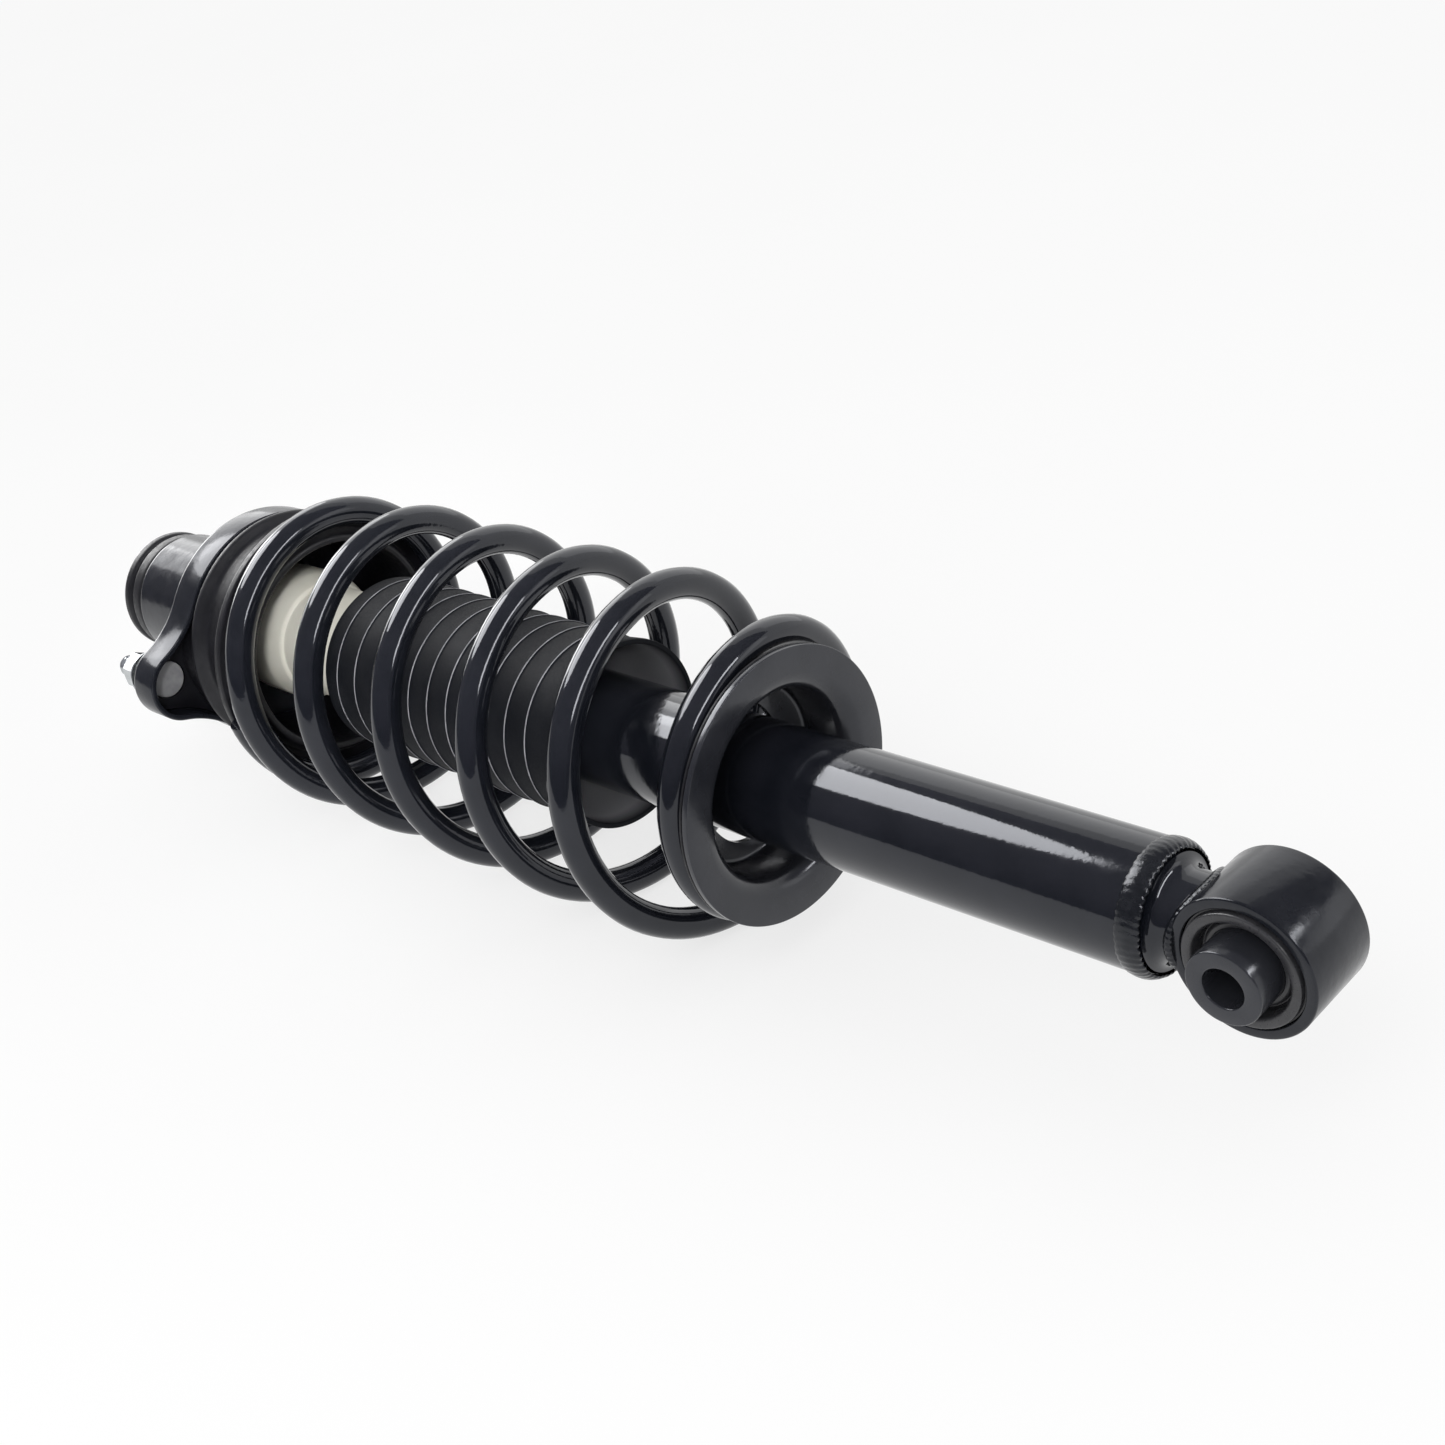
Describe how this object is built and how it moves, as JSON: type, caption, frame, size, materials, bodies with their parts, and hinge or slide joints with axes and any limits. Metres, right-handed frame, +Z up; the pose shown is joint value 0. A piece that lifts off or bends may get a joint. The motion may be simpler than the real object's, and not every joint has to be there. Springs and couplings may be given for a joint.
{
  "type": "suspension strut assembly",
  "caption": "Coil-over suspension strut with a twin-tube damper, bushed lower eye, welded spring perch, coil spring, dust boot, bump stop and two-stud upper mount.",
  "frame": {"origin": "middle of the bounding box on the floor, under the strut's axis", "axes": "+X along the strut from the upper mount to the lower eye, Y along the eye's bore and through both studs, +Z up, with the strut lying on its spring"},
  "size_m": [0.631, 0.151, 0.1398],
  "materials": {
    "black_paint": "gloss black paint on steel",
    "weld_bead": "weld bead under black paint",
    "rubber": "black moulded rubber, satin",
    "boot_rubber": "charcoal moulded rubber, satin",
    "cream_foam": "cream microcellular urethane",
    "zinc": "bright zinc plated steel",
    "steel": "plain machined steel",
    "chrome": "hard chrome, polished",
    "brass": "sintered bronze bush",
    "resin": "filled resin"
  },
  "bodies": {
    "damper_body": {"lower_eye_ring": "black_paint", "eye_bush": "rubber", "base_cap": "black_paint", "eye_weld": "weld_bead", "base_weld": "weld_bead", "damper_tube": "black_paint", "pressure_tube": "steel", "base_valve": "steel", "rod_guide": "steel", "rod_guide_bush": "brass", "oil_seal": "rubber", "bump_cap": "steel", "lower_spring_perch": "black_paint", "perch_weld_near": "weld_bead", "perch_weld_far": "weld_bead", "lower_spring_pad": "rubber", "coil_spring": "black_paint"},
    "piston_rod": {"piston_rod": "chrome", "piston": "steel", "piston_band": "resin", "rebound_valve_disc": "steel", "compression_valve_disc": "steel", "piston_nut": "steel", "rebound_stop": "resin", "bump_stop": "cream_foam", "dust_boot": "boot_rubber", "lower_mount_washer": "steel", "mount_collar": "steel", "upper_mount_washer": "zinc", "top_nut": "zinc"},
    "top_mount": {"mount_plate": "black_paint", "upper_spring_seat": "rubber", "lower_mount_rubber": "rubber", "upper_mount_rubber": "rubber", "top_cap": "rubber", "mount_stud_near": "zinc", "mount_stud_far": "zinc", "flange_nut_near": "zinc", "flange_nut_far": "zinc"},
    "eye_sleeve": {"eye_sleeve": "black_paint"}
  },
  "joints": [
    {"name": "damper_stroke", "type": "slide", "parent": "damper_body", "child": "piston_rod", "axis": [-1, 0, 0], "range_m": [-0.12, 0], "stiffness_N_per_m": 22000, "springref_m": 0.03, "deforming": ["coil_spring", "dust_boot", "bump_stop"]},
    {"name": "mount_swivel", "type": "hinge", "parent": "piston_rod", "child": "top_mount", "pos_m": [-0.23385, 0, 0.0697], "axis": [1, 0, 0], "range_deg": [-15, 15], "stiffness_Nm_per_rad": 15},
    {"name": "bush_twist", "type": "hinge", "parent": "damper_body", "child": "eye_sleeve", "pos_m": [0.29055, 0, 0.0697], "axis": [0, 1, 0], "range_deg": [-15, 15], "stiffness_Nm_per_rad": 10}
  ]
}
